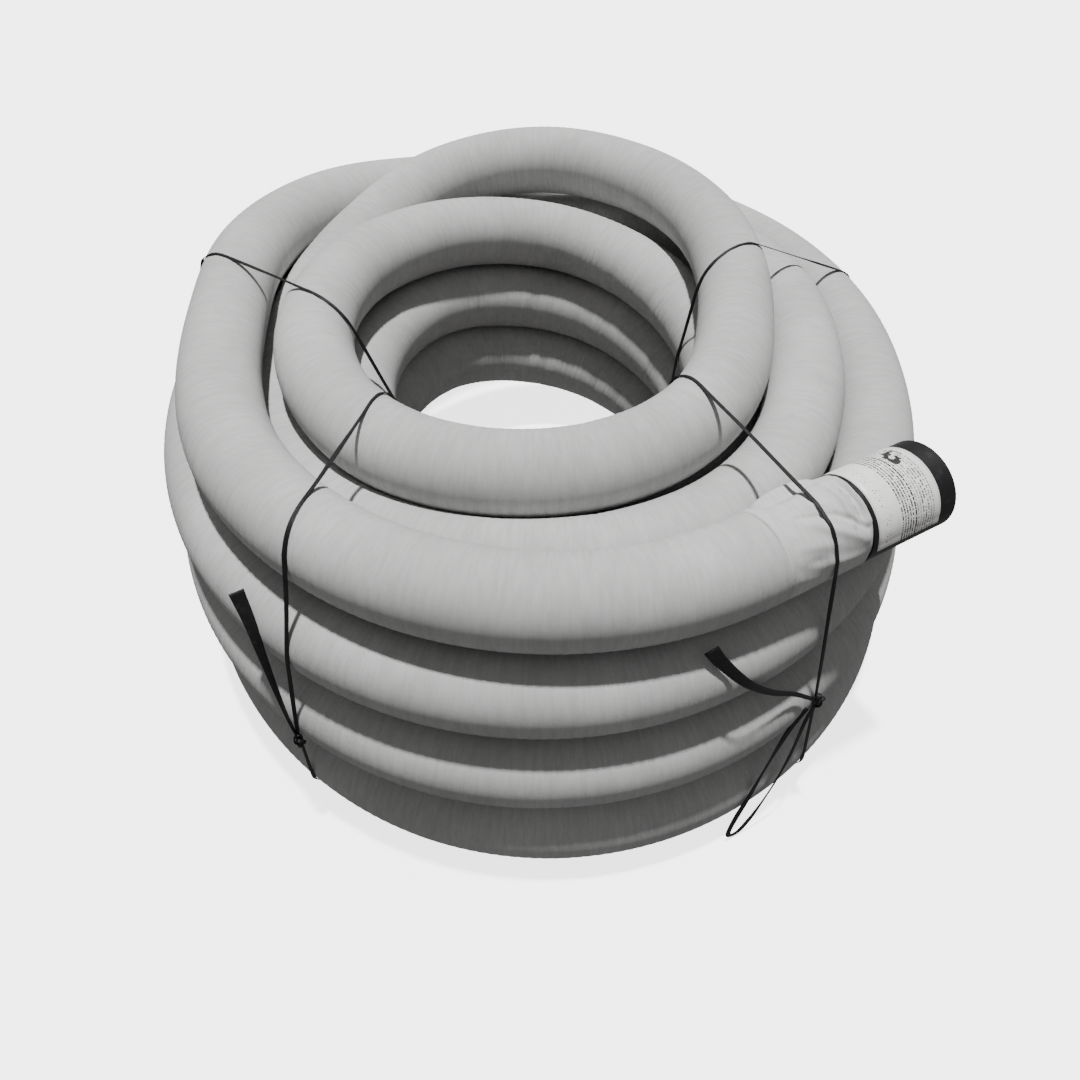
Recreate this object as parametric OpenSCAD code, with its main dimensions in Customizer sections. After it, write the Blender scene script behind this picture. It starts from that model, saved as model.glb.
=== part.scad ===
// Drain hose in a filter sock, wound in a coil and tied with four straps.
// A coupler sits on the hose's free end. Millimetres, +Z up, the coil's axis on Z.

/* [Hose] */
// Outside diameter of the sock on the hose
sock_d = 109; // [108:0.5:111]
// Wall thickness of the sock
sock_wall = 3.5; // [2:0.5:4]
// Outside diameter of the pipe over its ribs
pipe_d = 100; // [98:1:101]
// Bore of the pipe
bore_d = 90; // [86:1:91]
// Distance from rib to rib along the pipe
rib_pitch = 12.5; // [10:0.5:15]

/* [Coil] */
// Spacing of neighbouring turns
pitch = 112; // [112:1:130]

/* [Free end] */
// Straight hose between the coil and the bare pipe end
free_run = 76; // [60:1:130]
// Sock that covers the pipe end before the coupler
cuff_length = 45; // [40:1:60]
// Outside diameter of the coupler
coupler_d = 112; // [109:0.5:112]
// Length of the coupler
coupler_length = 128; // [110:2:140]
// Gap all round between coupler and pipe
coupler_gap = 0.4; // [0.3:0.05:0.5]
// How much of the coupler the label goes round, in degrees
label_turn = 217; // [120:1:300]

/* [Straps] */
// Width of a strap where it is drawn tight
strap_w = 8; // [6:1:12]
// Thickness of a strap
strap_t = 1.2; // [0.8:0.1:2]
// Width of a strap's flat tail
tail_w = 20; // [14:1:24]

/* [Hidden] */

rings_per_turn = 20;
tube_sides = 12;
fine = 96;

// ---- The winding ----
// The hose is wound as three columns of turns: up the inner one, down the middle one and up the
// outer one. A station is [turn, radius, height], the last two in spacings. The turn counts up
// along the hose, and its fraction is the azimuth: 0 right, 0.25 back, 0.5 left, 0.75 front.
i0 = 2.75;
m0 = 3.76;
o0 = 4.76;

// How much longer the coil is from front to back than from side to side, and how far the outer
// column's turns bulge out at the front, from the bottom one up, in spacings.
oval = 0.2;
bulge = [0.67, 0.51, 0.22];

// A turn of the inner column is level at the front and climbs one layer round the back, where
// the lower turns stand further into the hole, in spacings.
inset = [0.5, 0.3];
inner_turns = [for (k = [0:1]) each [
    [k, i0 - 0.1 * inset[k], k + 0.5], [k + 0.0625, i0 - 0.3 * inset[k], k + 0.52],
    [k + 0.25, i0 - inset[k], k + 1], [k + 0.375, i0 - 0.6 * inset[k], k + 1.36],
    [k + 0.5, i0 - 0.1 * inset[k], k + 1.5], [k + 0.75, i0, k + 1.5]]];

// The inner column's last turn swings out at the left and becomes the top inner ring.
top_inner_ring = [
    [2, i0, 2.5], [2.0625, i0 - 0.02, 2.52], [2.25, i0 - 0.07, 3.02], [2.375, i0 + 0.02, 3.38],
    [2.4375, i0 + 0.21, 3.48], [2.5, i0 + 0.37, 3.5], [2.625, i0 + 0.34, 3.5],
    [2.75, i0 + 0.09, 3.5], [2.875, i0 + 0.02, 3.5]];

// It rides out over the back, dips into the groove at the left, and is the middle ring.
top_middle_ring = [
    [3, i0 + 0.06, 3.5], [3.0625, i0 + 0.28, 3.55], [3.125, i0 + 0.61, 3.6],
    [3.1875, i0 + 0.95, 3.63], [3.25, i0 + 1.21, 3.62], [3.3125, i0 + 1.22, 3.46],
    [3.375, i0 + 1.03, 3.17], [3.4375, m0, 2.86], [3.5, m0 - 0.03, 2.6],
    [3.625, m0 - 0.01, 2.76], [3.75, m0 - 0.04, 2.98], [3.875, m0, 3], [4, m0 + 0.03, 3]];

// The middle column goes down to the floor, and then out to the outer column.
middle_turns = [
    [4.0625, m0 + 0.19, 2.9], [4.125, m0 + 0.3, 2.76], [4.1875, m0 + 0.19, 2.6],
    [4.25, m0 + 0.09, 2.5], [4.3125, m0 + 0.07, 2.4], [4.375, m0 + 0.02, 2.12],
    [4.4375, m0, 1.82], [4.5, m0, 1.58], [4.75, m0, 1.05], [5, m0, 0.55], [5.125, m0, 0.5],
    [5.25, m0, 0.5], [5.375, m0 + 0.34, 0.5], [5.4375, m0 + 0.67, 0.5],
    [5.5, m0 + 0.91, 0.5], [5.5625, o0, 0.5]];

// A turn of the outer column bulges at the front and climbs one layer at the back left.
outer_turns = [for (k = [0:1]) each [
    [k + 5.75, o0 + bulge[k], k + 0.5], [k + 6, o0, k + 0.5],
    [k + 6.125, o0, k + 0.5], [k + 6.25, o0, k + 0.65], [k + 6.3125, o0, k + 0.9],
    [k + 6.375, o0 + 0.04, k + 1.25], [k + 6.4375, o0 + 0.04, k + 1.44], [k + 6.5, o0, k + 1.5]]];

// The top outer ring, up to where the hose leaves the coil.
top_outer_ring = [
    [7.75, o0 + bulge[2], 2.5], [8, o0 + 0.03, 2.5], [8.0625, o0 + 0.17, 2.48],
    [8.125, o0 + 0.27, 2.48], [8.1875, o0 + 0.21, 2.54], [8.25, o0 + 0.12, 2.68],
    [8.3125, o0 + 0.11, 2.92], [8.375, o0 + 0.04, 3.26], [8.4375, o0 - 0.13, 3.45],
    [8.5, o0 - 0.41, 3.5], [8.625, o0 - 0.3, 3.5], [8.75, o0 - 0.15, 3.5],
    [8.825, o0 - 0.08, 3.5]];

STATIONS = concat([[-0.5, i0 - 0.06, 0.5], [-0.25, i0, 0.5]], inner_turns, top_inner_ring,
    top_middle_ring, middle_turns, outer_turns, top_outer_ring);
last = len(STATIONS) - 1;
first_turn = STATIONS[0][0];
last_turn = STATIONS[last][0];

// Slope of the radius and height from station i to the next, and at station i.
function step(i) = (STATIONS[i + 1] - STATIONS[i]) / (STATIONS[i + 1][0] - STATIONS[i][0]);
function width(i) = STATIONS[i + 1][0] - STATIONS[i][0];
function slope(i) =
    i == 0 ? step(0) :
    i == last ? step(last - 1) :
    (width(i) * step(i - 1) + width(i - 1) * step(i)) / (width(i - 1) + width(i));
SLOPES = [for (i = [0:last]) slope(i)];

// A turn that rests on the floor, in spacings.
floor_height = 0.5;

// [turn, radius, height] at any turn, by a smooth cubic between the stations.
function station_before(turn) = min(last - 1, len([for (s = STATIONS) if (s[0] <= turn) 1]) - 1);
function cubic(a, b, sa, sb, w, t) =
    (2 * pow(t, 3) - 3 * pow(t, 2) + 1) * a + (pow(t, 3) - 2 * pow(t, 2) + t) * w * sa
    + (3 * pow(t, 2) - 2 * pow(t, 3)) * b + (pow(t, 3) - pow(t, 2)) * w * sb;
function wound(turn) =
    let (i = station_before(turn), w = width(i), t = (turn - STATIONS[i][0]) / w)
    cubic(STATIONS[i], STATIONS[i + 1], SLOPES[i], SLOPES[i + 1], w, t);
function place(turn) =
    let (s = wound(turn), r = pitch * (s[1] - oval * cos(720 * turn)))
    [r * cos(360 * turn), r * sin(360 * turn), pitch * max(floor_height, s[2])];

function unit(v) = v / norm(v);
small = 0.001;

start_point = place(first_turn);
start_dir = unit(place(first_turn) - place(first_turn + small));
end_point = place(last_turn);
end_dir = unit(place(last_turn) - place(last_turn - small));

// The hose's centreline: its turns, and the straight run that leaves the coil.
turn_count = round((last_turn - first_turn) * rings_per_turn);
COIL = [for (i = [0:turn_count]) place(first_turn + (last_turn - first_turn) * i / turn_count)];
LINE = concat(COIL, [end_point + end_dir * free_run / 2, end_point + end_dir * free_run]);
n_line = len(LINE);
AIM = [for (i = [0:n_line - 1])
    i == 0 ? -start_dir :
    i >= n_line - 2 ? end_dir :
    unit(LINE[i + 1] - LINE[i - 1])];

// ---- Tubes and ribbons swept along a line ----
function ring(centre, aim, r) =
    let (side = unit(cross(aim, [0, 0, 1])), up = cross(side, aim))
    [for (k = [0:tube_sides - 1])
        centre + r * (cos(360 * k / tube_sides) * side + sin(360 * k / tube_sides) * up)];
function wall(n, sides, first, flip) =
    [for (i = [0:n - 2], k = [0:sides - 1])
        let (a = first + i * sides + k, b = first + i * sides + (k + 1) % sides,
            f = [a, b, b + sides, a + sides])
        flip ? [f[3], f[2], f[1], f[0]] : f];

module tube(line, aim, r) {
    n = len(line);
    points = [for (i = [0:n - 1]) each ring(line[i], aim[i], r)];
    start_cap = [for (k = [tube_sides - 1:-1:0]) k];
    end_cap = [for (k = [0:tube_sides - 1]) (n - 1) * tube_sides + k];
    polyhedron(points, concat([start_cap, end_cap], wall(n, tube_sides, 0, false)));
}

module pipe(line, aim, r_out, r_in) {
    n = len(line);
    inner = n * tube_sides;
    points = [for (r = [r_out, r_in], i = [0:n - 1]) each ring(line[i], aim[i], r)];
    rims = [for (k = [0:tube_sides - 1]) let (j = (k + 1) % tube_sides) each [
        [inner + k, inner + j, j, k],
        [inner - tube_sides + k, inner - tube_sides + j,
            2 * inner - tube_sides + j, 2 * inner - tube_sides + k]]];
    polyhedron(points, concat(rims, wall(n, tube_sides, 0, false),
        wall(n, tube_sides, inner, true)));
}

// A flat strip along a few points, whose face looks away from the coil's axis.
module ribbon(line, w, t) {
    n = len(line);
    points = [for (i = [0:n - 1])
        let (aim = unit(line[min(i + 1, n - 1)] - line[max(i - 1, 0)]),
            away = [line[i][0], line[i][1], 0],
            out = unit(away - (away * aim) * aim),
            across = cross(aim, out))
        each [for (c = [[-1, -1], [1, -1], [1, 1], [-1, 1]])
            line[i] + across * c[0] * w / 2 + out * c[1] * t / 2]];
    end = 4 * (n - 1);
    polyhedron(points, concat([[3, 2, 1, 0], [end, end + 1, end + 2, end + 3]],
        wall(n, 4, 0, false)));
}

// ---- Placing pieces on the hose's two ends ----
// The local Z axis points out of the hose's end, and local -X points up.
module at_end(point, dir, along) {
    translate(point + dir * along) rotate([0, 90, atan2(dir[1], dir[0])]) children();
}

// ---- Bare pipe ends ----
rib_top = pipe_d / 2;
rib_root = rib_top - 2.8;
rib_flat = 6;
rib_flank = 1.5;
rib_groove = rib_pitch - rib_flat - 2 * rib_flank;

// The pipe's outer outline from its start, cut off in the groove after the last rib.
function rib_outline(ribs) = [for (k = [0:ribs - 1]) each [
    [rib_top, k * rib_pitch], [rib_top, k * rib_pitch + rib_flat],
    [rib_root, k * rib_pitch + rib_flat + rib_flank],
    [rib_root, k * rib_pitch + rib_flat + rib_flank + rib_groove]]];
function rib_length(ribs) = ribs * rib_pitch - rib_flank;

module ribbed_pipe(ribs) {
    rotate_extrude($fn = fine)
        polygon(concat([[bore_d / 2, 0]], rib_outline(ribs), [[bore_d / 2, rib_length(ribs)]]));
}

// The outer end stops short of the coupler's middle.
outer_end_ribs = floor((cuff_length + coupler_length / 2) / rib_pitch);
inner_end_ribs = 4;

// The end pieces start this far from the wound hose's cut end.
seam = 1;

// ---- Coupler ----
coupler_start = free_run + cuff_length + 2 * seam;
coupler_bore = pipe_d / 2 + coupler_gap;
coupler_r = coupler_d / 2;
stop_r = bore_d / 2 + 1;
stop_w = 2;
edge = 1;
lead_in = 2;
bead_w = 1.6;
bead_r = rib_root + 1.2;
// The bead that clicks into a groove of the pipe, measured from the coupler's start.
bead_at = free_run + seam + (outer_end_ribs - 2) * rib_pitch + rib_flat + rib_flank + rib_groove / 2
    - coupler_start;

// Outline of one ring inside the coupler, from its bore in to r and back, centred at z.
function inner_ring(r, z, w) = [
    [coupler_bore, z + w / 2 + 1], [r, z + w / 2], [r, z - w / 2], [coupler_bore, z - w / 2 - 1]];

module drain_hose() {
    color([0.09, 0.09, 0.1]) tube(LINE, AIM, pipe_d / 2);
}

module filter_sock() {
    color([0.74, 0.74, 0.73]) pipe(LINE, AIM, sock_d / 2, sock_d / 2 - sock_wall);
}

module pipe_outer_end() {
    color([0.09, 0.09, 0.1]) at_end(end_point, end_dir, free_run + seam) ribbed_pipe(outer_end_ribs);
}

module pipe_inner_end() {
    color([0.09, 0.09, 0.1]) at_end(start_point, start_dir, seam) ribbed_pipe(inner_end_ribs);
}

module sock_ring(length) {
    rotate_extrude($fn = fine)
        translate([sock_d / 2 - sock_wall, 0]) square([sock_wall, length]);
}

module sock_outer_cuff() {
    color([0.82, 0.82, 0.8]) at_end(end_point, end_dir, free_run + seam) sock_ring(cuff_length);
}

inner_cuff = 34;
module sock_inner_cuff() {
    color([0.82, 0.82, 0.8]) at_end(start_point, start_dir, seam) sock_ring(inner_cuff);
}

tie_w = 4;
tie_t = 1.2;
module inner_sock_tie() {
    color([0.12, 0.12, 0.12]) at_end(start_point, start_dir, inner_cuff - 3 * tie_w)
        rotate_extrude($fn = fine) translate([sock_d / 2, 0]) square([tie_t, tie_w]);
}

module coupler() {
    mouth = coupler_length;
    outline = concat(
        [[coupler_bore + edge, 0], [coupler_r - edge, 0], [coupler_r, edge],
            [coupler_r, mouth - edge], [coupler_r - edge, mouth],
            [coupler_bore + lead_in, mouth], [coupler_bore, mouth - lead_in]],
        inner_ring(bead_r, mouth - bead_at, bead_w),
        inner_ring(stop_r, mouth / 2, stop_w),
        inner_ring(bead_r, bead_at, bead_w),
        [[coupler_bore, edge]]);
    color([0.1, 0.1, 0.11]) at_end(end_point, end_dir, coupler_start)
        rotate_extrude($fn = fine) polygon(outline);
}

label_start = 6;
label_w = 95;
label_t = 0.4;
label_from = 60;
module product_label() {
    color([0.93, 0.93, 0.92]) at_end(end_point, end_dir, coupler_start + label_start)
        rotate([0, 0, label_from]) rotate_extrude(angle = label_turn, $fn = fine)
            translate([coupler_r, 0]) square([label_t, label_w]);
}

// ---- Straps ----
// A strap lies in an upright plane: its azimuth, and how far it is shifted sideways, in spacings.
front_left = [253, -1.1];
front_right = [296, 0.7];
back_right = [31, -0.7];
back_left = [147, 1.8];
strap_gap = 0.3;

function out_of(strap) = [cos(strap[0]), sin(strap[0]), 0];
function across_of(strap) = [-sin(strap[0]), cos(strap[0]), 0];
function beside(strap, p) = p * across_of(strap) - strap[1] * pitch;

// Points on the sock within the strap's width, as seen along the strap's width.
function in_plane(strap, v) = [v * out_of(strap), v[2]];
function cut(strap, a, b, side) =
    let (sa = beside(strap, a) - side, sb = beside(strap, b) - side)
    sa * sb < 0 ? [in_plane(strap, a + (b - a) * sa / (sa - sb))] : [];
function under_strap(strap, r) = [for (i = [0:n_line - 2])
    let (from = beside(strap, LINE[i]), to = beside(strap, LINE[i + 1]))
    if (min(from, to) < pitch && max(from, to) > -pitch && LINE[i] * out_of(strap) > 0)
        let (here = ring(LINE[i], AIM[i], r), next = ring(LINE[i + 1], AIM[i + 1], r))
        for (k = [0:tube_sides - 1]) each concat(
            cut(strap, here[k], next[k], -strap_w / 2),
            cut(strap, here[k], next[k], strap_w / 2),
            abs(beside(strap, here[k])) <= strap_w / 2 ? [in_plane(strap, here[k])] : [])];

module strap_outline(strap, grow) {
    hull() polygon(under_strap(strap, sock_d / 2 + strap_gap + grow));
}

module strap_loop(strap) {
    color([0.1, 0.1, 0.1]) translate(across_of(strap) * strap[1] * pitch)
        rotate([90, 0, strap[0]]) translate([0, 0, -strap_w / 2])
            linear_extrude(strap_w) difference() {
                strap_outline(strap, strap_t);
                strap_outline(strap, 0);
            }
}

module strap_front_left() strap_loop(front_left);
module strap_front_right() strap_loop(front_right);
module strap_back_right() strap_loop(back_right);
module strap_back_left() strap_loop(back_left);

// ---- Knots and loose ends of the straps ----
// A knot lies just outside its strap's upright face, this far out along the strap's plane.
knot_r = 8;
knot_rise = 6;
module knot(strap, out, height) {
    place = out_of(strap) * out + across_of(strap) * strap[1];
    color([0.1, 0.1, 0.1]) translate(place * pitch + [0, 0, height * pitch]) hull()
        for (z = [-knot_rise, knot_rise]) translate([0, 0, z]) sphere(knot_r, $fn = 16);
}

module knot_front_left() knot(front_left, 5.72, 1.34);
module knot_front_right() knot(front_right, 5.72, 1.7);
module knot_back_right() knot(back_right, 5.25, 1.6);
module knot_back_left() knot(back_left, 4.86, 1.6);

// The loose ends' lines are written for a spacing of 112.
spread = pitch / 112;
module tail(line) {
    color([0.1, 0.1, 0.1]) ribbon(line * spread, tail_w, strap_t);
}

module tail_front_left() tail([[-306, -576, 158], [-312, -569, 190], [-321, -553, 232],
    [-332, -531, 275], [-343, -508, 315], [-355, -488, 345]]);
module tail_front_right() tail([[345, -545, 197], [313, -552, 222], [273, -571, 258],
    [235, -585, 300], [202, -580, 334], [188, -573, 350]]);
module tail_back_right() tail([[545, 229, 174], [548, 208, 150], [548, 194, 120],
    [547, 180, 90]]);
module tail_back_left() tail([[-567, 133, 176], [-562, 157, 150], [-553, 174, 120],
    [-544, 187, 90]]);

// The front right strap's other end hangs in a long narrow loop.
module loop_front_right() {
    line = [[349, -543, 182], [341, -551, 155], [325, -578, 115], [309, -598, 75],
        [290, -617, 38], [277, -628, 18], [266, -636, 8], [256, -641, 8], [251, -642, 18],
        [258, -632, 38], [273, -616, 75], [291, -595, 115], [316, -566, 155], [338, -547, 180]];
    color([0.1, 0.1, 0.1]) ribbon(line * spread, strap_w, strap_t);
}

drain_hose();
filter_sock();
pipe_outer_end();
pipe_inner_end();
sock_outer_cuff();
sock_inner_cuff();
inner_sock_tie();
coupler();
product_label();
strap_front_left();
strap_front_right();
strap_back_right();
strap_back_left();
knot_front_left();
knot_front_right();
knot_back_right();
knot_back_left();
tail_front_left();
tail_front_right();
tail_back_right();
tail_back_left();
loop_front_right();
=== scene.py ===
"""The looks of a drain hose in a filter sock, wound in a coil and tied with four straps."""

import math

import bpy
import numpy as np
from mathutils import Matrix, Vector
from mathutils.kdtree import KDTree


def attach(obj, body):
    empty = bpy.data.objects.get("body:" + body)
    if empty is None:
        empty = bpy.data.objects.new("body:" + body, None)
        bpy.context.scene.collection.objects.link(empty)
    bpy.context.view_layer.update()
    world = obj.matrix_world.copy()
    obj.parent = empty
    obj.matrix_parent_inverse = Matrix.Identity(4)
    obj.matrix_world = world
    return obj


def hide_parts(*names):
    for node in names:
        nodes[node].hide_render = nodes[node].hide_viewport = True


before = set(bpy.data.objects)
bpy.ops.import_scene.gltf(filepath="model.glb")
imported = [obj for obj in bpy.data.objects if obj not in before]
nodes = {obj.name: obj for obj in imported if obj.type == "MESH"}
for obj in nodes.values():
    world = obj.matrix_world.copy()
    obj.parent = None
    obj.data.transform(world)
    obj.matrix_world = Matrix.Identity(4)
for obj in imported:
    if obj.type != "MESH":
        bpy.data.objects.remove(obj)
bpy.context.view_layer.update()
noise = np.random.default_rng(7)

MM = 0.001
UP = np.array([0.0, 0.0, 1.0])


# ---- Camera ----
def make_camera():
    data = bpy.data.cameras.new("camera")
    data.lens = 28.9
    data.sensor_width = 36
    data.clip_start = 0.05
    camera = bpy.data.objects.new("camera", data)
    bpy.context.scene.collection.objects.link(camera)
    camera.location = (0, -1.108, 1.147)
    target = Vector((0, 0, -0.123))
    camera.rotation_euler = (target - camera.location).to_track_quat("-Z", "Y").to_euler()
    bpy.context.scene.camera = camera


make_camera()

# ---- The hose's route, as in part.scad, in metres ----
# The hose is wound as three columns of turns: up the inner one, down the middle one and up the
# outer one. A station is [turn, radius, height], the last two in spacings of the turns.
SPACING = 112 * MM
OVAL = 0.2
BULGE = [0.67, 0.51, 0.22]
FLOOR_HEIGHT = 0.5
INNER, MIDDLE, OUTER = 2.75, 3.76, 4.76
INSET = [0.5, 0.3]

stations = [[-0.5, INNER - 0.06, 0.5], [-0.25, INNER, 0.5]]
for k in range(2):
    stations += [
        [k, INNER - 0.1 * INSET[k], k + 0.5], [k + 0.0625, INNER - 0.3 * INSET[k], k + 0.52],
        [k + 0.25, INNER - INSET[k], k + 1], [k + 0.375, INNER - 0.6 * INSET[k], k + 1.36],
        [k + 0.5, INNER - 0.1 * INSET[k], k + 1.5], [k + 0.75, INNER, k + 1.5]]
stations += [
    [2, INNER, 2.5], [2.0625, INNER - 0.02, 2.52], [2.25, INNER - 0.07, 3.02],
    [2.375, INNER + 0.02, 3.38],
    [2.4375, INNER + 0.21, 3.48], [2.5, INNER + 0.37, 3.5], [2.625, INNER + 0.34, 3.5],
    [2.75, INNER + 0.09, 3.5], [2.875, INNER + 0.02, 3.5]]
stations += [
    [3, INNER + 0.06, 3.5], [3.0625, INNER + 0.28, 3.55], [3.125, INNER + 0.61, 3.6],
    [3.1875, INNER + 0.95, 3.63], [3.25, INNER + 1.21, 3.62], [3.3125, INNER + 1.22, 3.46],
    [3.375, INNER + 1.03, 3.17], [3.4375, MIDDLE, 2.86], [3.5, MIDDLE - 0.03, 2.6],
    [3.625, MIDDLE - 0.01, 2.76], [3.75, MIDDLE - 0.04, 2.98], [3.875, MIDDLE, 3],
    [4, MIDDLE + 0.03, 3]]
stations += [
    [4.0625, MIDDLE + 0.19, 2.9], [4.125, MIDDLE + 0.3, 2.76], [4.1875, MIDDLE + 0.19, 2.6],
    [4.25, MIDDLE + 0.09, 2.5], [4.3125, MIDDLE + 0.07, 2.4], [4.375, MIDDLE + 0.02, 2.12],
    [4.4375, MIDDLE, 1.82], [4.5, MIDDLE, 1.58], [4.75, MIDDLE, 1.05], [5, MIDDLE, 0.55],
    [5.125, MIDDLE, 0.5], [5.25, MIDDLE, 0.5], [5.375, MIDDLE + 0.34, 0.5],
    [5.4375, MIDDLE + 0.67, 0.5], [5.5, MIDDLE + 0.91, 0.5], [5.5625, OUTER, 0.5]]
for k in range(2):
    stations += [
        [k + 5.75, OUTER + BULGE[k], k + 0.5], [k + 6, OUTER, k + 0.5],
        [k + 6.125, OUTER, k + 0.5], [k + 6.25, OUTER, k + 0.65],
        [k + 6.3125, OUTER, k + 0.9], [k + 6.375, OUTER + 0.04, k + 1.25],
        [k + 6.4375, OUTER + 0.04, k + 1.44], [k + 6.5, OUTER, k + 1.5]]
stations += [
    [7.75, OUTER + BULGE[2], 2.5], [8, OUTER + 0.03, 2.5], [8.0625, OUTER + 0.17, 2.48],
    [8.125, OUTER + 0.27, 2.48], [8.1875, OUTER + 0.21, 2.54], [8.25, OUTER + 0.12, 2.68],
    [8.3125, OUTER + 0.11, 2.92], [8.375, OUTER + 0.04, 3.26], [8.4375, OUTER - 0.13, 3.45],
    [8.5, OUTER - 0.41, 3.5], [8.625, OUTER - 0.3, 3.5], [8.75, OUTER - 0.15, 3.5],
    [8.825, OUTER - 0.08, 3.5]]
STATIONS = np.array(stations)

FREE_RUN = 76 * MM
SEAM = 1 * MM
CUFF = 45 * MM
INNER_CUFF = 34 * MM
COUPLER_START = FREE_RUN + CUFF + 2 * SEAM


def wound(turns):
    """Radius and height in spacings at the given turns, by a smooth cubic between stations."""
    at, values = STATIONS[:, 0], STATIONS[:, 1:]
    width = np.diff(at)[:, None]
    step = np.diff(values, axis=0) / width
    slope = np.vstack([step[:1], (width[1:] * step[:-1] + width[:-1] * step[1:])
                       / (width[:-1] + width[1:]), step[-1:]])
    i = np.clip(np.searchsorted(at, turns, side="right") - 1, 0, len(at) - 2)
    w = width[i]
    t = ((turns - at[i]) / w[:, 0])[:, None]
    return ((2 * t**3 - 3 * t**2 + 1) * values[i] + (t**3 - 2 * t**2 + t) * w * slope[i]
            + (3 * t**2 - 2 * t**3) * values[i + 1] + (t**3 - t**2) * w * slope[i + 1])


def unit(v):
    v = np.asarray(v, float)
    return v / np.linalg.norm(v, axis=-1, keepdims=True)


def wound_points(turns):
    """Points of the hose's centreline at the given turns."""
    radius, height = wound(turns).T
    radius = SPACING * (radius - OVAL * np.cos(4 * math.pi * turns))
    angle = 2 * math.pi * turns
    return np.stack([radius * np.cos(angle), radius * np.sin(angle),
                     SPACING * np.maximum(FLOOR_HEIGHT, height)], axis=1)


def evenly(points, gap):
    """The same line with its points about gap apart, and how far along it each one is."""
    run = np.concatenate([[0], np.cumsum(np.linalg.norm(np.diff(points, axis=0), axis=1))])
    count = max(2, int(round(run[-1] / gap)) + 1)
    along = np.linspace(0, run[-1], count)
    return np.stack([np.interp(along, run, points[:, k]) for k in range(3)], axis=1), along


turns = np.linspace(STATIONS[-1, 0], STATIONS[0, 0], 12001)
coil = wound_points(turns)
END = coil[0]
END_DIR = unit(coil[0] - coil[1])
START = coil[-1]
START_DIR = unit(coil[-1] - coil[-2])
SOCK_LIP = END + END_DIR * (FREE_RUN + SEAM + CUFF)
SOCK_INNER_LIP = START + START_DIR * (SEAM + INNER_CUFF)

RIB = 12.5 * MM
RINGS_A_RIB = 4
route, along = evenly(np.vstack([SOCK_LIP, coil, SOCK_INNER_LIP]), RIB / RINGS_A_RIB)
aims = unit(np.gradient(route, axis=0))


# ---- Mesh helpers ----
def add_mesh(name, vertices, faces, material, smooth=True):
    mesh = bpy.data.meshes.new(name)
    mesh.from_pydata(np.asarray(vertices, float).reshape(-1, 3).tolist(), [], faces)
    mesh.materials.append(material)
    mesh.polygons.foreach_set("use_smooth", [smooth] * len(mesh.polygons))
    mesh.update()
    piece = bpy.data.objects.new(name, mesh)
    bpy.context.scene.collection.objects.link(piece)
    return piece


def mark(piece, name, values):
    """Stores a vector at each vertex, for the material to read."""
    attribute = piece.data.attributes.new(name, "FLOAT_VECTOR", "POINT")
    attribute.data.foreach_set("vector", np.asarray(values, np.float32).ravel())


def grid_faces(rows, columns, closed=True, caps=False):
    """Faces of a tube whose rings are rows of points."""
    last = columns if closed else columns - 1
    faces = []
    for i in range(rows - 1):
        a = i * columns
        for k in range(last):
            j = (k + 1) % columns
            faces.append((a + k, a + j, a + columns + j, a + columns + k))
    if caps:
        faces.append(tuple(reversed(range(columns))))
        faces.append(tuple(range((rows - 1) * columns, rows * columns)))
    return faces


def smooth_line(points, gap):
    """A smooth curve through a few points, with its points about gap apart."""
    p = np.asarray(points, float)
    p = np.vstack([2 * p[0] - p[1], p, 2 * p[-1] - p[-2]])
    t = np.linspace(0, 1, 16, endpoint=False)[:, None]
    parts = []
    for a, b, c, d in zip(p[:-3], p[1:-2], p[2:-1], p[3:]):
        parts.append(0.5 * (2 * b + (c - a) * t + (2 * a - 5 * b + 4 * c - d) * t**2
                            + (3 * b - a - 3 * c + d) * t**3))
    return evenly(np.vstack(parts + [p[-2:-1]]), gap)[0]


def slow_noise(at, period, size):
    """Smooth seeded noise along a line, within about plus or minus size."""
    knots = np.arange(at.min() - 2 * period, at.max() + 3 * period, period)
    values = noise.uniform(-1, 1, len(knots))
    i = np.clip(np.searchsorted(knots, at) - 1, 0, len(knots) - 2)
    t = (at - knots[i]) / period
    t = t * t * (3 - 2 * t)
    return size * (values[i] * (1 - t) + values[i + 1] * t)


# ---- Materials ----
def new_material(name, color, roughness, **inputs):
    material = bpy.data.materials.new(name)
    material.use_nodes = True
    shader = material.node_tree.nodes["Principled BSDF"]
    shader.inputs["Base Color"].default_value = (*color, 1)
    shader.inputs["Roughness"].default_value = roughness
    for key, value in inputs.items():
        shader.inputs[key.replace("_", " ")].default_value = value
    return material, shader


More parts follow.
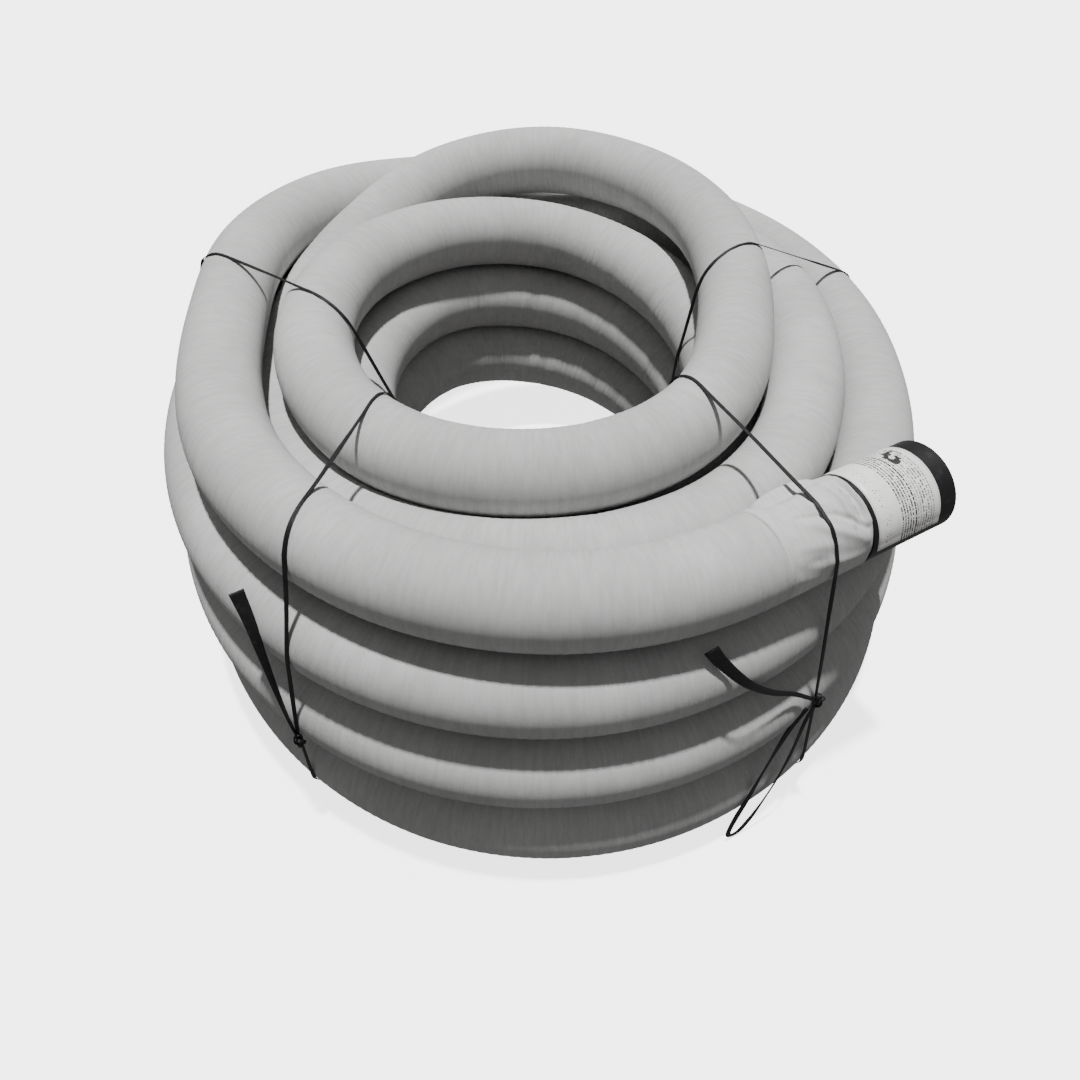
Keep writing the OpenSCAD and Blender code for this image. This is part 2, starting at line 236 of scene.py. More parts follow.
class Nodes:
    """Short names for the nodes that the materials are made of."""

    def __init__(self, material):
        self.tree = material.node_tree

    def put(self, socket, value):
        if isinstance(value, bpy.types.NodeSocket):
            self.tree.links.new(value, socket)
        else:
            socket.default_value = value

    def math(self, operation, a, b=0.0, c=0.0):
        node = self.tree.nodes.new("ShaderNodeMath")
        node.operation = operation
        for socket, value in zip(node.inputs, (a, b, c)):
            self.put(socket, value)
        return node.outputs[0]

    def noise(self, vector, scale, detail=3.0, roughness=0.55):
        node = self.tree.nodes.new("ShaderNodeTexNoise")
        self.put(node.inputs["Vector"], vector)
        node.inputs["Scale"].default_value = scale
        node.inputs["Detail"].default_value = detail
        node.inputs["Roughness"].default_value = roughness
        return node.outputs["Fac"]

    def ramp(self, value, low, high, at_low=0.0, at_high=1.0):
        node = self.tree.nodes.new("ShaderNodeMapRange")
        node.interpolation_type = "SMOOTHSTEP"
        for key, v in (("Value", value), ("From Min", low), ("From Max", high),
                       ("To Min", at_low), ("To Max", at_high)):
            self.put(node.inputs[key], v)
        return node.outputs["Result"]

    def mix(self, factor, a, b):
        node = self.tree.nodes.new("ShaderNodeMix")
        node.data_type = "RGBA"
        self.put(node.inputs["Factor"], factor)
        for socket, value in ((node.inputs[6], a), (node.inputs[7], b)):
            self.put(socket, value if isinstance(value, bpy.types.NodeSocket) else (*value, 1))
        return node.outputs[2]

    def shade(self, color, factor):
        """color times factor."""
        node = self.tree.nodes.new("ShaderNodeVectorMath")
        node.operation = "SCALE"
        self.put(node.inputs[0], color)
        self.put(node.inputs["Scale"], factor)
        return node.outputs["Vector"]

    def place(self):
        return self.tree.nodes.new("ShaderNodeTexCoord").outputs["Object"]

    def stored(self, name):
        node = self.tree.nodes.new("ShaderNodeAttribute")
        node.attribute_name = name
        parts = self.tree.nodes.new("ShaderNodeSeparateXYZ")
        self.tree.links.new(node.outputs["Vector"], parts.inputs[0])
        return parts.outputs

    def bump(self, height, distance, strength, normal=None):
        node = self.tree.nodes.new("ShaderNodeBump")
        self.put(node.inputs["Height"], height)
        node.inputs["Distance"].default_value = distance
        node.inputs["Strength"].default_value = strength
        if normal is not None:
            self.put(node.inputs["Normal"], normal)
        return node.outputs["Normal"]


def sock_material(name, light):
    """Grey knitted fabric: wales round the hose, courses along it, a little soiled, with painted
    shade in the knit's gaps and painted light and shade along its streaks.
    """
    material, shader = new_material(name, (0.45, 0.45, 0.44), 0.95, Specular_IOR_Level=0.2)
    n = Nodes(material)
    s, c, q = n.stored("hose")
    angle = n.math("ARCTAN2", q, c)
    wale = n.math("COSINE", n.math("MULTIPLY", angle, 190.0))
    phase = n.math("MULTIPLY_ADD", wale, 1.1, n.math("MULTIPLY", s, 2 * math.pi / 0.0019))
    stitch = n.math("MULTIPLY", n.math("MULTIPLY_ADD", n.math("SINE", phase), 0.5, 0.5),
                    n.math("MULTIPLY_ADD", wale, 0.25, 0.75))
    place = n.place()
    broad = n.noise(place, 5.0, 4.0)
    patches = n.noise(place, 45.0, 5.0, 0.65)
    fuzz = n.noise(place, 900.0, 2.0)
    specks = n.ramp(n.noise(place, 420.0, 1.0), 0.72, 0.78)
    # Faint streaks run round the hose, where the knit lies over the pipe's ribs. Their colour is
    # painted light and shade of that relief.
    round_hose = n.tree.nodes.new("ShaderNodeCombineXYZ")
    n.put(round_hose.inputs[0], n.math("MULTIPLY", s, 210.0))
    n.put(round_hose.inputs[1], n.math("MULTIPLY", c, 1.6))
    n.put(round_hose.inputs[2], n.math("MULTIPLY", q, 1.6))
    streak = n.noise(round_hose.outputs[0], 1.0, 2.0, 0.6)
    color = n.mix(n.ramp(broad, 0.35, 0.7), (0.44, 0.44, 0.435), (0.51, 0.51, 0.505))
    color = n.mix(n.ramp(patches, 0.55, 0.8, 0.0, 0.3), color, (0.35, 0.35, 0.345))
    # Painted shade: the knit is darker in the gaps between stitches, where its bump height is
    # low.
    color = n.shade(color, n.math("MULTIPLY_ADD", stitch, 0.16, 0.86))
    color = n.shade(color, n.math("MULTIPLY_ADD", fuzz, 0.3, 0.85))
    # Painted light and shade: lighter where the streaks stand up, darker where they sink, as the
    # bump below shapes them.
    color = n.shade(color, n.ramp(streak, 0.3, 0.7, 0.93, 1.05))
    color = n.mix(n.math("MULTIPLY", specks, 0.25), color, (0.18, 0.175, 0.17))
    color = n.shade(color, light)
    n.put(shader.inputs["Base Color"], color)
    relief = n.bump(streak, 0.0012, 0.5)
    rough = n.bump(n.math("MULTIPLY_ADD", fuzz, 0.6, n.math("MULTIPLY", stitch, 0.8)),
                   0.0005, 0.6, relief)
    n.put(shader.inputs["Normal"], rough)
    return material


def plastic_material(name, color, roughness, grain, scratches):
    """Moulded black plastic with a fine grain and dull scuffs."""
    material, shader = new_material(name, color, roughness, Specular_IOR_Level=0.3)
    n = Nodes(material)
    place = n.place()
    fine = n.noise(place, grain, 3.0)
    scuff = n.ramp(n.noise(place, 60.0, 6.0, 0.7), 0.5, 0.75)
    dull = tuple(min(1, x * 2.6 + 0.012) for x in color)
    n.put(shader.inputs["Base Color"], n.mix(n.math("MULTIPLY", scuff, 0.5), color, dull))
    n.put(shader.inputs["Roughness"], n.ramp(scuff, 0.0, 1.0, roughness, roughness + 0.2))
    n.put(shader.inputs["Normal"], n.bump(fine, scratches, 0.35))
    return material


def strap_material():
    """Black plastic strap with fine lengthwise ribs."""
    material, shader = new_material("strap_black", (0.005, 0.005, 0.0055), 0.5,
                                    Specular_IOR_Level=0.3)
    n = Nodes(material)
    s, across, _ = n.stored("strap")
    ribs = n.math("SINE", n.math("MULTIPLY", across, 2 * math.pi / 0.0012))
    weave = n.math("SINE", n.math("MULTIPLY", s, 2 * math.pi / 0.002))
    place = n.place()
    worn = n.ramp(n.noise(place, 120.0, 5.0, 0.7), 0.48, 0.75)
    n.put(shader.inputs["Base Color"], n.mix(n.math("MULTIPLY", worn, 0.6),
                                             (0.005, 0.005, 0.0055), (0.02, 0.02, 0.02)))
    n.put(shader.inputs["Roughness"], n.ramp(worn, 0.0, 1.0, 0.45, 0.65))
    n.put(shader.inputs["Normal"],
          n.bump(n.math("MULTIPLY_ADD", weave, 0.4, ribs), 0.0002, 0.6))
    return material


def label_material():
    """White film with a generic print of bars and dashes that isn't lettering."""
    material, shader = new_material("label_film", (0.8, 0.8, 0.78), 0.38)
    n = Nodes(material)
    round_it, across, _ = n.stored("label")
    # Rows of dashes that run round the label: bold in the middle, fine nearer the mouth.
    row = n.math("MULTIPLY", across, 24.0)
    in_row = n.math("LESS_THAN", n.math("FRACT", row), 0.55)
    cells = n.tree.nodes.new("ShaderNodeCombineXYZ")
    n.put(cells.inputs[0], n.math("MULTIPLY", round_it, 110.0))
    n.put(cells.inputs[1], n.math("MULTIPLY", n.math("FLOOR", row), 3.7))
    dash = n.noise(cells.outputs[0], 1.3, 1.0)
    bold = n.math("MULTIPLY", n.math("COMPARE", across, 0.47, 0.11),
                  n.math("GREATER_THAN", dash, 0.45))
    small = n.math("MULTIPLY", n.math("COMPARE", across, 0.77, 0.15),
                   n.math("GREATER_THAN", dash, 0.5))
    sparse = n.math("MULTIPLY", n.math("COMPARE", across, 0.16, 0.06),
                    n.math("GREATER_THAN", dash, 0.6))
    line = n.math("MULTIPLY", n.math("COMPARE", across, 0.60, 0.012),
                  n.math("GREATER_THAN", dash, 0.4))
    fine = n.math("MAXIMUM", n.math("MAXIMUM", n.math("MULTIPLY", bold, 0.95),
                                    n.math("MULTIPLY", small, 0.85)),
                  n.math("MULTIPLY", sparse, 0.75))
    # Dark blots near the coupler's mouth, on its upper side.
    blots = n.tree.nodes.new("ShaderNodeCombineXYZ")
    n.put(blots.inputs[0], n.math("MULTIPLY", round_it, 22.0))
    n.put(blots.inputs[1], n.math("MULTIPLY", across, 9.0))
    blot = n.math("MULTIPLY", n.math("GREATER_THAN", n.noise(blots.outputs[0], 1.0, 1.0), 0.5),
                  n.math("MULTIPLY", n.math("COMPARE", across, 0.78, 0.12),
                         n.math("COMPARE", round_it, 0.49, 0.07)))
    ink = n.math("MAXIMUM", n.math("MAXIMUM", n.math("MULTIPLY", fine, in_row), line), blot)
    stain = n.ramp(n.noise(n.place(), 70.0, 5.0, 0.7), 0.45, 0.8)
    paper = n.mix(n.math("MULTIPLY", stain, 0.5), (0.82, 0.82, 0.80), (0.5, 0.5, 0.49))
    n.put(shader.inputs["Base Color"], n.mix(ink, paper, (0.03, 0.03, 0.03)))
    n.put(shader.inputs["Normal"], n.bump(n.noise(n.place(), 160.0, 3.0), 0.0003, 0.3))
    return material


def floor_material():
    """A bright plain floor that glows, so that it stays pale under the coil."""
    material, shader = new_material("floor_pale", (0.8, 0.8, 0.8), 0.9, Emission_Strength=2.9)
    shader.inputs["Emission Color"].default_value = (1, 0.985, 0.985, 1)
    n = Nodes(material)
    tone = n.noise(n.place(), 3.0, 4.0)
    n.put(shader.inputs["Base Color"], n.mix(tone, (0.79, 0.785, 0.785), (0.81, 0.805, 0.805)))
    return material


SOCK = sock_material("sock_knit", 1.0)
SOCK_TURNED = sock_material("sock_knit_turned", 1.16)
PIPE = plastic_material("pipe_black", (0.016, 0.016, 0.017), 0.5, 700.0, 0.0003)
COUPLER = plastic_material("coupler_black", (0.008, 0.008, 0.009), 0.5, 420.0, 0.0002)
STRAP = strap_material()
LABEL = label_material()

# ---- The sock on the hose ----
SIDES = 40
SOCK_R = 56.3 * MM
RIB_DEPTH = 0.5 * MM
SWELL = 0.5 * MM
OVALITY = 0.35 * MM
WRINKLE = 1.3 * MM
# Curvature, per metre, from which the wrinkles are at their full height.
SHARP_BEND = 4
# The length of the sock's turned-back end, and how far the sock is drawn in under it.
END_CLOTH = 118 * MM
DRAWN_IN = 2.6 * MM
# Stretches of hose nearer than this along it aren't neighbours that press on each other.
NEXT_TURN = 1.0
HALF_GAP = 0.15 * MM
LOWEST = 1.6 * MM
# Radius round the free end's axis that the neighbouring turn keeps clear of, and the radius
# inside which the free end's own cloth lies.
COUPLER_ROOM = 58.5 * MM
OWN_CLOTH = 54 * MM


def ring_axes(aim):
    """Directions sideways and up, square to the hose."""
    side = unit(np.cross(aim, UP))
    return side, np.cross(side, aim)


def sock_rings():
    """Points of every ring of the sock, shape (rings, SIDES, 3)."""
    side, up = ring_axes(aims)
    angle = np.linspace(0, 2 * math.pi, SIDES, endpoint=False)
    cos, sin = np.cos(angle), np.sin(angle)
    rib = RIB_DEPTH * (0.5 - 0.5 * np.cos(2 * math.pi * along / RIB)) ** 1.5
    rib = rib * (0.6 + slow_noise(along, 0.05, 0.5))
    swell = slow_noise(along, 0.35, SWELL) - rib
    oval = OVALITY + slow_noise(along, 0.6, SWELL)
    radius = SOCK_R + swell[:, None] + oval[:, None] * np.cos(2 * angle)[None, :]
    # Cross wrinkles on the inside of each bend, where the sock has cloth to spare.
    bend = np.cross(aims, np.gradient(aims, axis=0))
    bend = np.linalg.norm(bend, axis=1) / np.gradient(along)
    centre = unit(np.gradient(aims, axis=0) + 1e-12)
    inward = (centre * side).sum(1)[:, None] * cos + (centre * up).sum(1)[:, None] * sin
    crease = slow_noise(along, 0.021, 1.0) * slow_noise(along, 0.13, 1.0)
    radius += (np.clip(inward, 0, 1) ** 2 * crease[:, None]
               * np.clip(bend / SHARP_BEND, 0, 1)[:, None] * WRINKLE)
    # Near the free end it lies under the turned-back end of the sock.
    radius -= DRAWN_IN * np.clip((END_CLOTH - 6 * MM - along) / (8 * MM), 0, 1)[:, None]
    rings = (route[:, None, :] + radius[:, :, None]
             * (side[:, None, :] * cos[None, :, None] + up[:, None, :] * sin[None, :, None]))
    return rings, angle


def press_together(rings):
    """Flattens each turn where it lies on its neighbours and on the floor."""
    tree = KDTree(len(route))
    for i, p in enumerate(route):
        tree.insert(p, i)
    tree.balance()
    skip = int(NEXT_TURN / (along[1] - along[0]))
    for i, p in enumerate(route):
        nearest = {}
        for _, j, gap in tree.find_range(p, 2 * SOCK_R + 2 * MM):
            if abs(j - i) > skip:
                key = round(j / skip)
                if key not in nearest or gap < nearest[key][1]:
                    nearest[key] = (j, gap)
        for j, gap in nearest.values():
            way = (route[j] - p) / gap
            past = (rings[i] - p) @ way - (gap / 2 - HALF_GAP)
            rings[i] -= np.clip(past, 0, None)[:, None] * way
    rings[..., 2] = np.maximum(rings[..., 2], LOWEST)


def clear_coupler(rings):
    """Presses in the turn under the coupler by a hair, so that the label turns clear of it."""
    off = rings - END
    reach = off @ END_DIR
    out = off - reach[..., None] * END_DIR
    gap = np.linalg.norm(out, axis=-1)
    near = (reach > COUPLER_START) & (gap > OWN_CLOTH) & (gap < COUPLER_ROOM)
    rings += np.where(near, (COUPLER_ROOM - gap) / gap, 0)[..., None] * out


# The section of the sock's folded edge, in mm: how far in from the cloth's face, and how far
# past its end.
LIP_SECTION = [(0.4, 1.6), (1.6, 2.2), (3.0, 1.6), (3.6, 0.0), (3.8, -8)]


def lip(ring, centre, aim):
    """The sock's edge, folded over and back inside: rows of points that follow the last ring."""
    out = ring - centre
    rows = []
    for shrink, forward in LIP_SECTION:
        scale = 1 - shrink * MM / np.linalg.norm(out, axis=1, keepdims=True)
        rows.append(centre + out * scale + aim * forward * MM)
    return rows


def make_sock():
    """The sock over the whole hose. Returns its rings."""
    rings, angle = sock_rings()
    press_together(rings)
    clear_coupler(rings)
    start_rows = lip(rings[0], route[0], -aims[0])[::-1]
    end_rows = lip(rings[-1], route[-1], aims[-1])
    rows = np.concatenate([np.array(start_rows), rings, np.array(end_rows)])
    where = np.concatenate([along[0] - MM * np.arange(len(start_rows), 0, -1), along,
                            along[-1] + MM * np.arange(1, len(end_rows) + 1)])
    piece = add_mesh("sock", rows, grid_faces(len(rows), SIDES), SOCK)
    facts = np.empty((len(rows), SIDES, 3))
    facts[..., 0] = where[:, None]
    facts[..., 1] = np.cos(angle)
    facts[..., 2] = np.sin(angle)
    mark(piece, "hose", facts)
    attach(piece, "coil")
    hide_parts("filter_sock", "drain_hose", "sock_inner_cuff")
    return rings


def fold(s, arc, start, end, width, height):
    """A soft ridge between two places on the sock's end, or a crease where height is below 0."""
    to_mm = (1, math.radians(SOCK_R / MM))
    start = np.array(start, float) * to_mm
    end = np.array(end, float) * to_mm
    way = end - start
    t = ((s - start[0]) * way[0] + (arc - start[1]) * way[1]) / (way @ way)
    t = np.clip(t, 0, 1)
    off = (s - start[0] - t * way[0]) ** 2 + (arc - start[1] - t * way[1]) ** 2
    return height * np.exp(-off / width**2) * (0.55 + 0.45 * np.sin(math.pi * t))


# Folds on the sock's end: from and to [distance from the lip in mm, degrees round it from the
# back over the top], width and height in mm.
FOLDS = [
    ((20, 36), (100, 46), 6, 9), ((26, 53), (98, 62), 6, -4), ((8, 78), (10, 126), 7, -6),
    ((23, 66), (23, 130), 4.5, 4.5), ((1, 66), (1, 134), 3, 3), ((84, 98), (38, 112), 3.5, -3.5),
    ((38, 112), (6, 142), 3.5, -4.5), ((76, 110), (8, 154), 6, 3.2), ((70, 86), (40, 97), 5, 2.5),
    ((60, 164), (10, 174), 6, 1.6), ((104, 130), (60, 142), 6, 1.6), ((104, 84), (62, 74), 5, 2),
    ((48, 52), (30, 74), 4, 2.5), ((90, 150), (70, 156), 5, -1.5)]
# The section of its lip, from the face inwards, in mm: how far in, and how far back from the lip.
TURNED_SECTION = [(1.2, -1.0), (2.6, -0.6), (4.0, 0.6), (4.6, 3.0), (4.8, 10.0)]


def make_sock_end():
    """The sock's end, turned back and crumpled over the last stretch. Returns its outside."""
    sides, rows = 160, 92
    s = np.linspace(0, END_CLOTH, rows)[:, None] / MM
    angle = np.linspace(0, 2 * math.pi, sides, endpoint=False)[None, :]
    arc = np.degrees(angle) * math.radians(SOCK_R / MM)
    height = 0.9 * np.cos(5 * angle + 0.6) * np.exp(-s / 30) + 0.35 * np.cos(13 * angle + s / 9)
    for start, end, width, rise in FOLDS:
        height = height + fold(s, arc, start, end, width, rise)
    upper = np.clip(0.5 + 1.5 * np.sin(angle - math.radians(15)), 0, 1)
    height = height * upper
    fade = np.clip((END_CLOTH / MM - s) / 14, 0, 1)
    radius = SOCK_R + (0.3 + height * fade) * MM
    # The lip lies a little further back below than above.
    slant = 3.0 * (1 - np.sin(angle)) * np.exp(-s / 12) * MM
    side, up = ring_axes(aims[0])
    out = side * np.cos(angle)[..., None] + up * np.sin(angle)[..., None]
    line = SOCK_LIP - END_DIR * (s[..., None] * MM + slant[..., None])
    outside = line + out * radius[..., None]
    turned = []
    for shrink, behind in TURNED_SECTION:
        inside = out[0] * (radius[0] - shrink * MM)[:, None]
        turned.append(line[0] - END_DIR * behind * MM + inside)
    back = [line[-1] - END_DIR * 0.8 * MM + out[0] * (SOCK_R - 1.2 * MM),
            line[-1] + out[0] * (SOCK_R - 3.4 * MM)]
    points = np.concatenate([np.array(turned[::-1]), outside, np.array(back)])
    piece = add_mesh("sock_end", points, grid_faces(len(points), sides), SOCK_TURNED)
    before = np.arange(-len(turned), 0)
    after = s[-1, 0] + np.arange(1, len(back) + 1)
    facts = np.empty((len(points), sides, 3))
    facts[..., 0] = np.concatenate([before, s[:, 0], after])[:, None] * MM
    facts[..., 1] = np.cos(angle)
    facts[..., 2] = np.sin(angle)
    mark(piece, "hose", facts)
    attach(piece, "coil")
    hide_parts("sock_outer_cuff")
    return outside


surface = np.concatenate([make_sock().reshape(-1, 3), make_sock_end().reshape(-1, 3)])

# ---- The pipe's inside, seen through the coupler's mouth ----
BORE_R = 45.6 * MM
BORE_RIB = 1.8 * MM
BORE_SIDES = 32
BORE_FROM, BORE_TO = 0.05, 0.9


def make_pipe_bore():
    """The corrugated bore, from inside the coupler to where the first bend hides it."""
    seen = (along > BORE_FROM) & (along < BORE_TO)
    line, run = route[seen], along[seen]
    side, up = ring_axes(unit(np.gradient(line, axis=0)))
    angle = np.linspace(0, 2 * math.pi, BORE_SIDES, endpoint=False)
    radius = BORE_R + BORE_RIB * (0.5 - 0.5 * np.cos(2 * math.pi * run / RIB))
    rings = line[:, None] + radius[:, None, None] * (
        side[:, None] * np.cos(angle)[None, :, None] + up[:, None] * np.sin(angle)[None, :, None])
    piece = add_mesh("pipe_bore", rings, grid_faces(len(line), BORE_SIDES), PIPE)
    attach(piece, "coil")


make_pipe_bore()

# ---- Coupler and label ----
END_DOWN = -UP
END_BACK = np.cross(END_DIR, END_DOWN)


def at_end(angle, radius, forward):
    """A point by its angle from straight down, radius and distance along the free end's axis."""
    angle = np.asarray(angle, float)[..., None]
    out = END_DOWN * np.cos(angle) + END_BACK * np.sin(angle)
    return END + END_DIR * np.asarray(forward)[..., None] + out * np.asarray(radius)[..., None]


LABEL_START = COUPLER_START + 6 * MM
LABEL_WIDTH = 95 * MM
LABEL_R = 56 * MM
LABEL_T = 0.25 * MM
LABEL_FROM = math.radians(60)
LABEL_TURN = math.radians(211)
LABEL_SKEW = 2.0 * MM
LABEL_CURL = 1.2 * MM


def make_label():
    """A thin film, stuck on a little askew, with its last edge lifted."""
    columns, rows = 97, 15
    u, v = np.meshgrid(np.linspace(0, 1, columns), np.linspace(0, 1, rows), indexing="ij")
    angle = LABEL_FROM + LABEL_TURN * u
    forward = LABEL_START + LABEL_WIDTH * v + LABEL_SKEW * (u - 0.5)
    ripple = 0.15 * MM + 0.10 * MM * np.cos(19 * u + 7 * v) ** 2
    lift = ripple + LABEL_CURL * np.clip(u - 0.96, 0, 1) / 0.04
    top = at_end(angle, LABEL_R + lift + LABEL_T, forward)
    bottom = at_end(angle, LABEL_R + lift, forward)
    sheet = np.concatenate([top.reshape(-1, 3), bottom.reshape(-1, 3)])
    count = columns * rows
    faces = []
    for i in range(columns - 1):
        for k in range(rows - 1):
            a = i * rows + k
            b = a + rows
            faces += [(a, b, b + 1, a + 1), (count + a, count + a + 1, count + b + 1, count + b)]
    edge = ([i * rows for i in range(columns)]
            + [(columns - 1) * rows + k for k in range(1, rows)]
            + [i * rows + rows - 1 for i in range(columns - 2, -1, -1)]
            + [k for k in range(rows - 2, 0, -1)])
    for a, b in zip(edge, edge[1:] + edge[:1]):
        faces.append((b, a, count + a, count + b))
    piece = add_mesh("label", sheet, faces, LABEL)
    facts = np.stack([u, v, np.zeros_like(u)], axis=-1).reshape(-1, 3)
    mark(piece, "label", np.concatenate([facts, facts]))
    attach(piece, "coupler")
    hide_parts("product_label")


make_label()

# ---- Straps ----
# A strap lies in an upright plane: its azimuth in degrees, and its shift sideways in spacings.
STRAPS = {"front_left": (253, -1.1), "front_right": (296, 0.7),
          "back_right": (31, -0.7), "back_left": (147, 1.8)}
STRAP_T = 1.2 * MM
STRAP_W = 5.5 * MM
# How far a strap's face stays off the cloth, and the gap between the points of its line.
STRAP_OFF = 0.1 * MM
STRAP_STEP = 5 * MM


def strap_axes(name):
    """The way out along a strap's plane, the way across it, and its shift across in metres."""
    azimuth = math.radians(STRAPS[name][0])
    out = np.array([math.cos(azimuth), math.sin(azimuth), 0])
    across = np.array([-math.sin(azimuth), math.cos(azimuth), 0])
    return out, across, STRAPS[name][1] * SPACING


def hull_2d(points):
    """The convex outline of points in a plane, anticlockwise."""
    points = sorted(set(map(tuple, np.round(points, 7))))

    def half(line):
        kept = []
        for p in line:
            while len(kept) > 1:
                (ax, ay), (bx, by) = kept[-2], kept[-1]
                if (bx - ax) * (p[1] - ay) - (by - ay) * (p[0] - ax) > 0:
                    break
                kept.pop()
            kept.append(p)
        return kept[:-1]

    return np.array(half(points) + half(points[::-1]))


def strap_line(name):
    """The strap's closed line, drawn tight round the cloth that lies under it."""
    out, across, shift = strap_axes(name)
    beside = surface @ across - shift
    under = surface[(np.abs(beside) < STRAP_W / 2 + 2 * MM) & (surface @ out > 0)]
    flat = hull_2d(np.stack([under @ out, under[:, 2]], axis=1))
    angle = np.linspace(0, 2 * math.pi, 24, endpoint=False)
    disc = (STRAP_T / 2 + STRAP_OFF) * np.stack([np.cos(angle), np.sin(angle)], axis=1)
    outline = hull_2d((flat[:, None] + disc[None]).reshape(-1, 2))
    outline = np.vstack([outline, outline[:1]])
    line = outline[:, :1] * out + outline[:, 1:] * UP + across * shift
    line[:, 2] = np.maximum(line[:, 2], STRAP_T / 2 + STRAP_OFF)
    return evenly(line, STRAP_STEP)[0]


# A strip's section, in widths and thicknesses: a flat face above and one below, with rounded
# edges between them.
SECTION = [(-0.5, 0), (-0.46, 0.38), (-0.25, 0.5), (0, 0.5), (0.25, 0.5), (0.46, 0.38),
           (0.5, 0), (0.46, -0.38), (0.25, -0.5), (0, -0.5), (-0.25, -0.5), (-0.46, -0.38)]


def add_ribbon(name, line, width, thick, normal, twist=0.0, closed=False, cup=0.0):
    """A flat strip along a line. width, twist and thick may change along it."""
    line = np.asarray(line, float)
    count = len(line)
    if closed:
        aim = unit(np.roll(line, -1, axis=0) - np.roll(line, 1, axis=0))
    else:
        aim = unit(np.gradient(line, axis=0))
    width, thick, twist = (np.broadcast_to(x, count)[:, None] for x in (width, thick, twist))
    normal = unit(normal - (normal * aim).sum(1, keepdims=True) * aim)
    across = np.cross(aim, normal)
    normal, across = (normal * np.cos(twist) + across * np.sin(twist),
                      across * np.cos(twist) - normal * np.sin(twist))
    rows, facts = [], []
    run = np.concatenate([[0], np.cumsum(np.linalg.norm(np.diff(line, axis=0), axis=1))])
    for x, y in SECTION:
        bow = cup * (0.25 - x * x) * width
        rows.append(line + across * x * width + normal * (y * thick + bow))
        facts.append(np.concatenate([run[:, None], x * width, 0 * width], axis=1))
    rows = np.stack(rows, axis=1)
    faces = grid_faces(count, len(SECTION), caps=not closed)
    if closed:
        n = len(SECTION)
        last = (count - 1) * n
        faces += [(last + k, last + (k + 1) % n, (k + 1) % n, k) for k in range(n)]
    piece = add_mesh(name, rows, faces, STRAP)
    mark(piece, "strap", np.stack(facts, axis=1))
    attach(piece, "coil")
    return piece


def make_strap(name):
    """A strap's tight loop, which wanders, widens and twists a little along its way."""
    out, across, _ = strap_axes(name)
    line = strap_line(name)[:-1]
    aim = unit(np.roll(line, -1, axis=0) - np.roll(line, 1, axis=0))
    normal = np.cross(aim, across)
    middle = line.mean(0)
    normal *= np.sign((normal * (line - middle)).sum(1))[:, None]
    run = np.arange(len(line)) * STRAP_STEP
    fade = np.minimum(1, np.minimum(run, run[-1] - run) / 0.05)
    line = line + across * (slow_noise(run, 0.09, 1.6 * MM) * fade)[:, None]
    width = STRAP_W + slow_noise(run, 0.06, 1.3 * MM) * fade
    twist = slow_noise(run, 0.11, 0.25) * fade
    piece = add_ribbon("strap_loop_" + name, line, width, STRAP_T, normal, twist, closed=True)
    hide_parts("strap_" + name)


for strap in STRAPS:
    make_strap(strap)

# ---- Knots ----
KNOTS = {"front_left": (5.72, 1.34), "front_right": (5.72, 1.7),
         "back_right": (5.25, 1.6), "back_left": (4.86, 1.6)}
KNOT_SIZE = 2.3 * MM
KNOT_DEPTH = 3.6 * MM
KNOT_W = 5 * MM
KNOT_T = 2.2 * MM


def knot_centre(name):
    out, across, shift = strap_axes(name)
    reach, height = KNOTS[name]
    return out * reach * SPACING + across * shift + UP * height * SPACING


def make_knot(name):
    """A strap end tied over the other: a small pulled-tight trefoil, higher than wide."""
    out, across, _ = strap_axes(name)
    t = np.linspace(0, 2 * math.pi, 72, endpoint=False)
    ring = (2.0 + 0.9 * np.cos(3 * t)) * KNOT_SIZE
    line = (knot_centre(name)
            + across * (ring * np.cos(2 * t))[:, None]
            + UP * (1.7 * ring * np.sin(2 * t))[:, None]
            + out * (KNOT_DEPTH * np.sin(3 * t))[:, None])
    piece = add_ribbon("tied_" + name, line, KNOT_W, KNOT_T, line - knot_centre(name),
                       closed=True)
    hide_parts("knot_" + name)


for strap in STRAPS:
    make_knot(strap)

# ---- Loose ends, along the same points as in part.scad ----
TAILS = {
    "front_left": [(-306, -576, 158), (-312, -569, 190), (-321, -553, 232),
                   (-332, -531, 275), (-343, -508, 315), (-355, -488, 345)],
    "front_right": [(345, -545, 197), (313, -552, 222), (273, -571, 258), (235, -585, 300),
                    (202, -580, 334), (188, -573, 350)],
    "back_right": [(545, 229, 174), (548, 208, 150), (548, 194, 120), (547, 180, 90)],
    "back_left": [(-567, 133, 176), (-562, 157, 150), (-553, 174, 120), (-544, 187, 90)]}
# How far each is turned about its own line, in radians.
TAIL_TWIST = {"front_left": 1.2, "front_right": 0, "back_right": 0, "back_left": 0}
TAIL_T = 1.1 * MM
TAIL_SPREAD = 13 * MM
LOOP_W = 7.5 * MM
LOOP_T = 1.4 * MM
LOOSE_STEP = 4 * MM
LOOP = [(349, -543, 182), (341, -551, 155), (325, -578, 115), (309, -598, 75), (290, -617, 38),
        (277, -628, 18), (266, -636, 8), (256, -641, 8), (251, -642, 18), (258, -632, 38),
        (273, -616, 75), (291, -595, 115), (316, -566, 155), (338, -547, 180)]


def outward(line):
    """At each point of a line, the level direction away from the coil's axis."""
    away = line.copy()
    away[:, 2] = 0
    return unit(away)


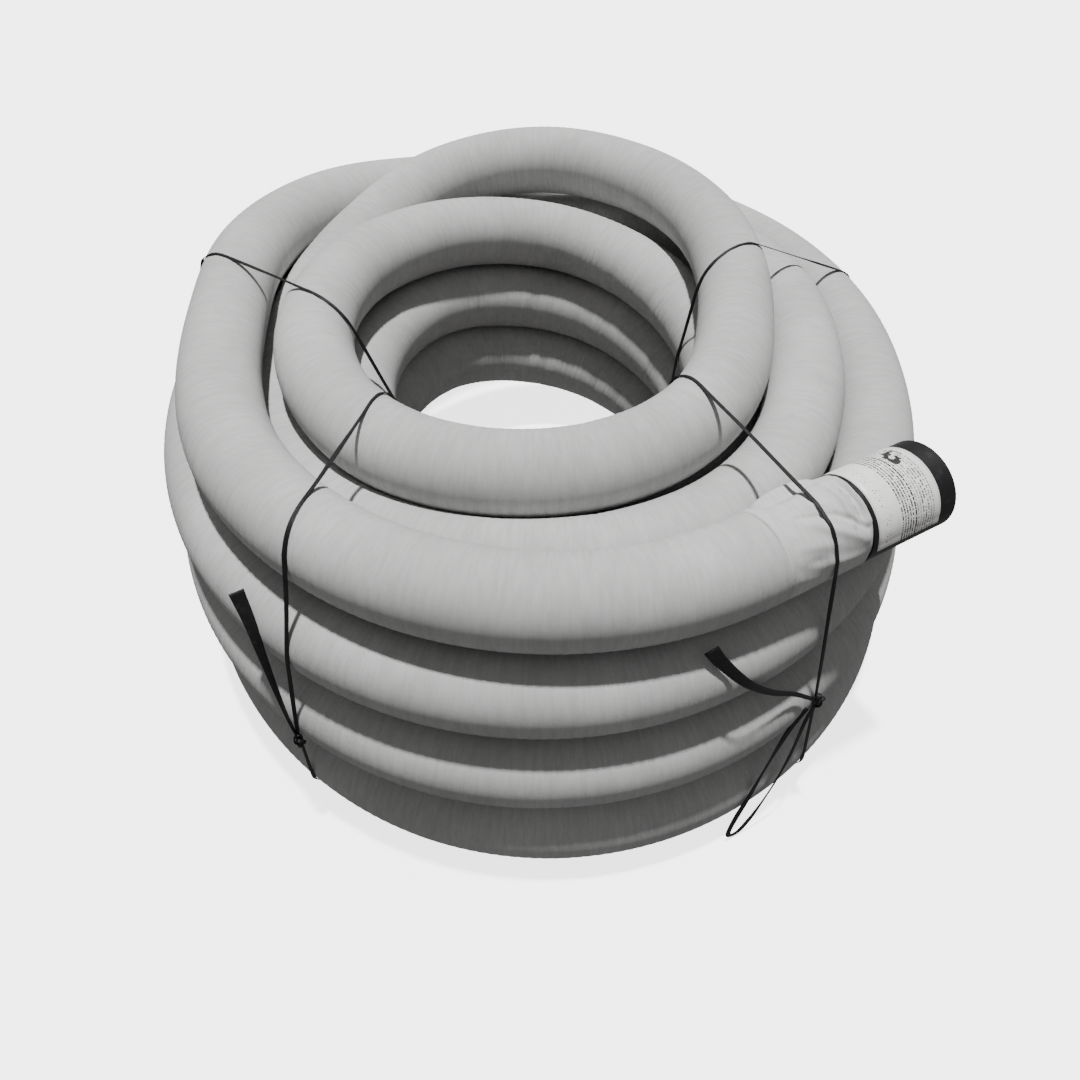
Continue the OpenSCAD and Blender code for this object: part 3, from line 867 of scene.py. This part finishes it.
def make_tail(name):
    """A loose end that widens from the knot to a flat cut end."""
    line = smooth_line(np.array(TAILS[name]) * MM, LOOSE_STEP)
    run = np.linspace(0, 1, len(line))
    width = STRAP_W + TAIL_SPREAD * run ** 1.8
    twist = TAIL_TWIST[name] + 0.9 * (1 - run) ** 2
    piece = add_ribbon("loose_end_" + name, line, width, TAIL_T, outward(line), twist, cup=0.12)
    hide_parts("tail_" + name)


def make_loop():
    """The front right strap's other end, which hangs in a long narrow loop."""
    line = smooth_line(np.array(LOOP) * MM, LOOSE_STEP)
    run = np.arange(len(line)) * LOOSE_STEP
    width = LOOP_W + slow_noise(run, 0.05, 1.5 * MM)
    twist = slow_noise(run, 0.07, 0.5)
    piece = add_ribbon("hanging_loop", line, width, LOOP_T, outward(line), twist)
    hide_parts("loop_front_right")


for strap in TAILS:
    make_tail(strap)
make_loop()


# ---- Materials of the CAD nodes that stay ----
def paint(node, material):
    """Gives a CAD node its material."""
    piece = nodes[node]
    piece.data.materials.clear()
    piece.data.materials.append(material)


paint("coupler", COUPLER)
paint("pipe_outer_end", PIPE)
paint("pipe_inner_end", PIPE)
paint("inner_sock_tie", COUPLER)


# ---- Floor and light ----
def make_floor():
    """The floor, which no bounced or mirrored light sees, so that undersides stay dark."""
    size = 14
    corners = [(-size, -size, 0), (size, -size, 0), (size, size, 0), (-size, size, 0)]
    floor = add_mesh("floor", corners, [(0, 1, 2, 3)], floor_material(), smooth=False)
    floor.visible_diffuse = False
    floor.visible_glossy = False


def make_lights():
    """One high key light with soft shadows, and a faint even sky."""
    sun = bpy.data.lights.new("key", "SUN")
    sun.energy = 6.3
    sun.angle = math.radians(3)
    key = bpy.data.objects.new("key", sun)
    bpy.context.scene.collection.objects.link(key)
    way = Vector((0.03, -0.165, -1))
    key.rotation_euler = way.to_track_quat("-Z", "Y").to_euler()
    world = bpy.data.worlds.new("world")
    world.use_nodes = True
    sky = world.node_tree.nodes["Background"]
    sky.inputs["Color"].default_value = (0.94, 0.93, 0.93, 1)
    sky.inputs["Strength"].default_value = 0.27
    bpy.context.scene.world = world


make_floor()
make_lights()
